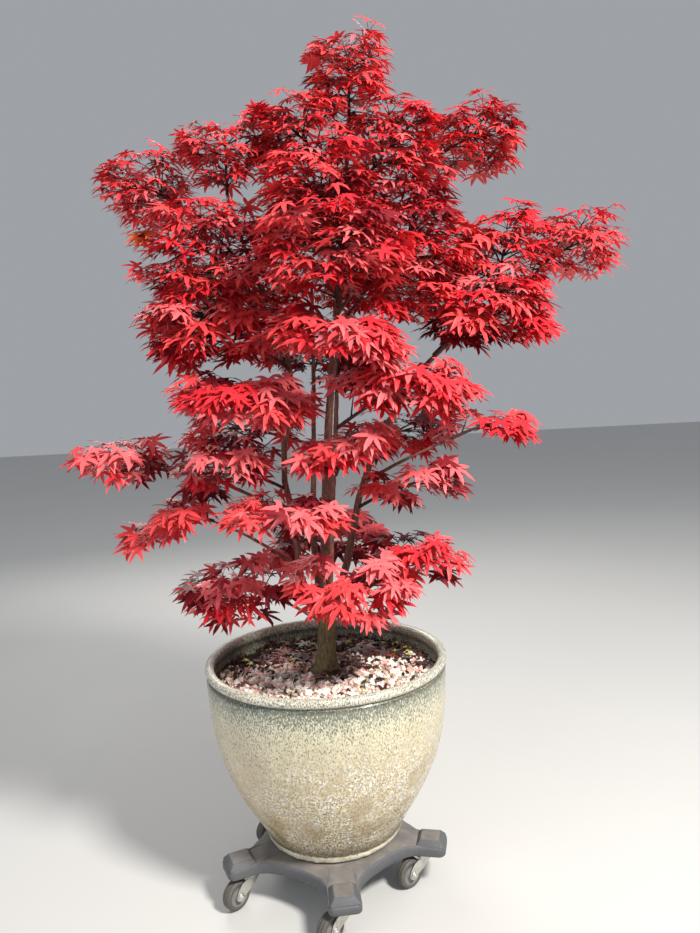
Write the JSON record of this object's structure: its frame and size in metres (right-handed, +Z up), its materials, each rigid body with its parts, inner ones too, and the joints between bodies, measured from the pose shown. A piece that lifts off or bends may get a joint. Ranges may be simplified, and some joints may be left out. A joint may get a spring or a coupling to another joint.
{
  "type": "potted japanese maple",
  "caption": "Red-leaved Japanese maple with a short trunk and layered crown, in a glazed stoneware bowl pot on a low rolling plant stand with swivel casters.",
  "frame": {"origin": "on the floor, under the middle of the bounding box of the whole plant, pot and stand", "axes": "+Z up, the front of the plant towards -Y, +X to the right seen from the front"},
  "size_m": [1.1326, 0.696, 1.734],
  "materials": {
    "glaze": "speckled celadon glaze, glossy, with lime crust lower down",
    "soil": "bark potting mix under crushed white and pink gravel, matt",
    "stand_plastic": "charcoal moulded plastic, dusty",
    "trunk_bark": "smooth olive-brown bark with fine cracks",
    "stem_bark": "smooth reddish-tan young bark",
    "leaf": "thin scarlet leaves, soft sheen",
    "zinc": "zinc-plated pressed steel",
    "tread": "grey moulded tread, matt"
  },
  "bodies": {
    "root": {"pot": "glaze", "soil": "soil", "stand": "stand_plastic", "trunk": "trunk_bark", "stem_leader": "stem_bark", "stem_left": "stem_bark", "stem_right": "stem_bark", "stem_front": "stem_bark", "stem_back": "stem_bark", "bough_far_left_high": "stem_bark", "bough_upper_right": "stem_bark", "bough_far_left_low": "stem_bark", "bough_left_low": "stem_bark", "bough_left_bottom": "stem_bark", "bough_right_pad": "stem_bark", "bough_bottom_right": "stem_bark", "foliage_crown_top": "leaf", "foliage_neck_left": "leaf", "foliage_neck_right": "leaf", "foliage_upper_right": "leaf", "foliage_upper_left": "leaf", "foliage_far_left_high": "leaf", "foliage_left_high": "leaf", "foliage_centre_high": "leaf", "foliage_front_high": "leaf", "foliage_right_high": "leaf", "foliage_right_far": "leaf", "foliage_right_tip": "leaf", "foliage_right_mid": "leaf", "foliage_front_mid": "leaf", "foliage_left_mid": "leaf", "foliage_left_inner": "leaf", "foliage_far_left_low": "leaf", "foliage_left_lower": "leaf", "foliage_left_low": "leaf", "foliage_left_bottom": "leaf", "foliage_front_right": "leaf", "foliage_right_pad": "leaf", "foliage_right_low": "leaf", "foliage_front_low": "leaf", "foliage_bottom_front": "leaf", "foliage_bottom_right": "leaf", "foliage_centre_inner": "leaf", "foliage_back_top": "leaf", "foliage_back_left_high": "leaf", "foliage_back_right_high": "leaf", "foliage_back_mid": "leaf", "foliage_back_left_low": "leaf", "foliage_back_right_low": "leaf", "foliage_back_bottom": "leaf"},
    "caster_1": {"fork_1": "zinc"},
    "wheel_1": {"wheel_1": "tread"},
    "caster_2": {"fork_2": "zinc"},
    "wheel_2": {"wheel_2": "tread"},
    "caster_3": {"fork_3": "zinc"},
    "wheel_3": {"wheel_3": "tread"},
    "caster_4": {"fork_4": "zinc"},
    "wheel_4": {"wheel_4": "tread"},
    "caster_5": {"fork_5": "zinc"},
    "wheel_5": {"wheel_5": "tread"}
  },
  "joints": [
    {"name": "swivel_1", "type": "hinge", "parent": "root", "child": "caster_1", "pos_m": [-0.09056, -0.22248, 0.0687], "axis": [0, 0, 1], "continuous": true},
    {"name": "roll_1", "type": "hinge", "parent": "caster_1", "child": "wheel_1", "pos_m": [-0.11835, -0.2484, 0.03], "axis": [0.682, -0.7314, 0], "continuous": true},
    {"name": "swivel_2", "type": "hinge", "parent": "root", "child": "caster_2", "pos_m": [0.08179, -0.08041, 0.0687], "axis": [0, 0, 1], "continuous": true},
    {"name": "roll_2", "type": "hinge", "parent": "caster_2", "child": "wheel_2", "pos_m": [0.05029, -0.10166, 0.03], "axis": [0.5592, -0.829, 0], "continuous": true},
    {"name": "swivel_3", "type": "hinge", "parent": "root", "child": "caster_3", "pos_m": [-0.00007, 0.12741, 0.0687], "axis": [0, 0, 1], "continuous": true},
    {"name": "roll_3", "type": "hinge", "parent": "caster_3", "child": "wheel_3", "pos_m": [-0.02918, 0.10298, 0.03], "axis": [0.6428, -0.766, 0], "continuous": true},
    {"name": "swivel_4", "type": "hinge", "parent": "root", "child": "caster_4", "pos_m": [-0.22301, 0.11377, 0.0687], "axis": [0, 0, 1], "continuous": true},
    {"name": "roll_4", "type": "hinge", "parent": "caster_4", "child": "wheel_4", "pos_m": [-0.25336, 0.0909, 0.03], "axis": [0.6018, -0.7986, 0], "continuous": true},
    {"name": "swivel_5", "type": "hinge", "parent": "root", "child": "caster_5", "pos_m": [-0.27894, -0.10247, 0.0687], "axis": [0, 0, 1], "continuous": true},
    {"name": "roll_5", "type": "hinge", "parent": "caster_5", "child": "wheel_5", "pos_m": [-0.30581, -0.12934, 0.03], "axis": [0.7071, -0.7071, 0], "continuous": true}
  ]
}
